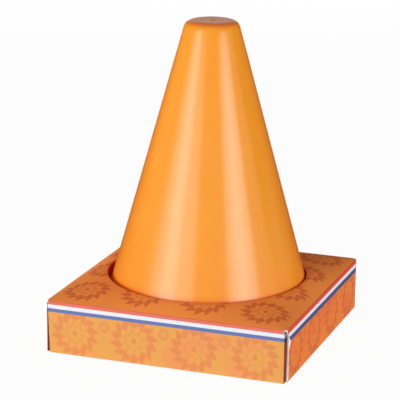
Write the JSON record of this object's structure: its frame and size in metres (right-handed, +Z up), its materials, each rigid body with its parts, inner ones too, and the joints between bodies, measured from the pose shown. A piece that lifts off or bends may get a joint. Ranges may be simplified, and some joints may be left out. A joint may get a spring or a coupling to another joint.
{
  "type": "stack of training cones in a display carton",
  "caption": "Nested hollow training cones with square feet, standing in a low board carton whose lid has a round hole over the stack.",
  "frame": {"origin": "middle of the carton's footprint, on the surface that it stands on", "axes": "+Z up along the cones, +X to the right as seen from the carton's front, +Y towards its back"},
  "size_m": [0.159, 0.159, 0.2053],
  "materials": {
    "orange_plastic": "smooth moulded gloss",
    "printed_board": "coated and printed, satin",
    "plain_board": "uncoated"
  },
  "bodies": {
    "base_tray": {"base_tray": "plain_board"},
    "cone_1": {"cone_1": "orange_plastic"},
    "cone_2": {"cone_2": "orange_plastic"},
    "cone_3": {"cone_3": "orange_plastic"},
    "cone_4": {"cone_4": "orange_plastic"},
    "display_lid": {"display_lid": "printed_board"}
  },
  "joints": [
    {"name": "cone_1_lift", "type": "slide", "parent": "base_tray", "child": "cone_1", "axis": [0, 0, 1], "range_m": [0, 0.08]},
    {"name": "cone_2_lift", "type": "slide", "parent": "cone_1", "child": "cone_2", "axis": [0, 0, 1], "range_m": [0, 0.18]},
    {"name": "cone_3_lift", "type": "slide", "parent": "cone_2", "child": "cone_3", "axis": [0, 0, 1], "range_m": [0, 0.18]},
    {"name": "cone_4_lift", "type": "slide", "parent": "cone_3", "child": "cone_4", "axis": [0, 0, 1], "range_m": [0, 0.18]},
    {"name": "lid_lift", "type": "slide", "parent": "cone_4", "child": "display_lid", "axis": [0, 0, 1], "range_m": [0, 0.21]}
  ]
}
